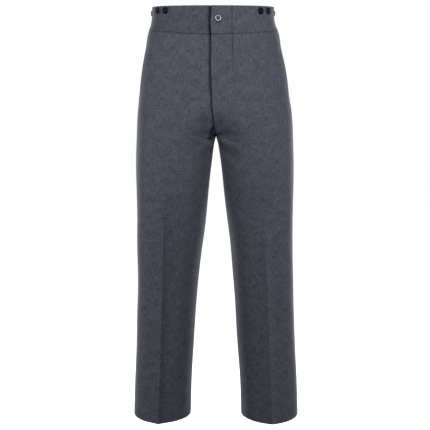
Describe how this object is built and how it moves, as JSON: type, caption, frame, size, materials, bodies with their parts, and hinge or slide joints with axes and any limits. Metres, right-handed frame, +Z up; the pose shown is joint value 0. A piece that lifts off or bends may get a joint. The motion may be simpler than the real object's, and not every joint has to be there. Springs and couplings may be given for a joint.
{
  "type": "military trousers",
  "caption": "Straight-leg, high-waisted military trousers in blue-grey wool, hollow as when worn, with a fly lap, waistband, brace buttons and side pocket mouths.",
  "frame": {"origin": "centre of the waist opening, level with the top edge of the waistband, where the wearer's waist or braces hold it", "axes": "+Z up along the body, front faces -Y, the wearer's left is +X"},
  "size_m": [0.46, 0.2611, 1.12],
  "materials": {
    "wool": "napped blue-grey wool with a faint mottle",
    "black_button": "black four-hole button, satin",
    "button_metal": "dull pressed metal button with a dished middle"
  },
  "bodies": {
    "root": {"front_left": "wool", "front_right": "wool", "back_left": "wool", "back_right": "wool", "waistband_front_left": "wool", "waistband_front_right": "wool", "waistband_back_left": "wool", "waistband_back_right": "wool", "fly_shield": "wool", "pocket_facing_left": "wool", "pocket_facing_right": "wool", "brace_button_front_right_outer": "black_button", "brace_button_front_right_inner": "black_button", "brace_button_front_left_inner": "black_button", "brace_button_front_left_outer": "black_button", "brace_button_back_right": "black_button", "brace_button_back_left": "black_button", "side_button_right": "black_button", "side_button_left": "black_button", "waist_button": "button_metal"}
  },
  "joints": []
}
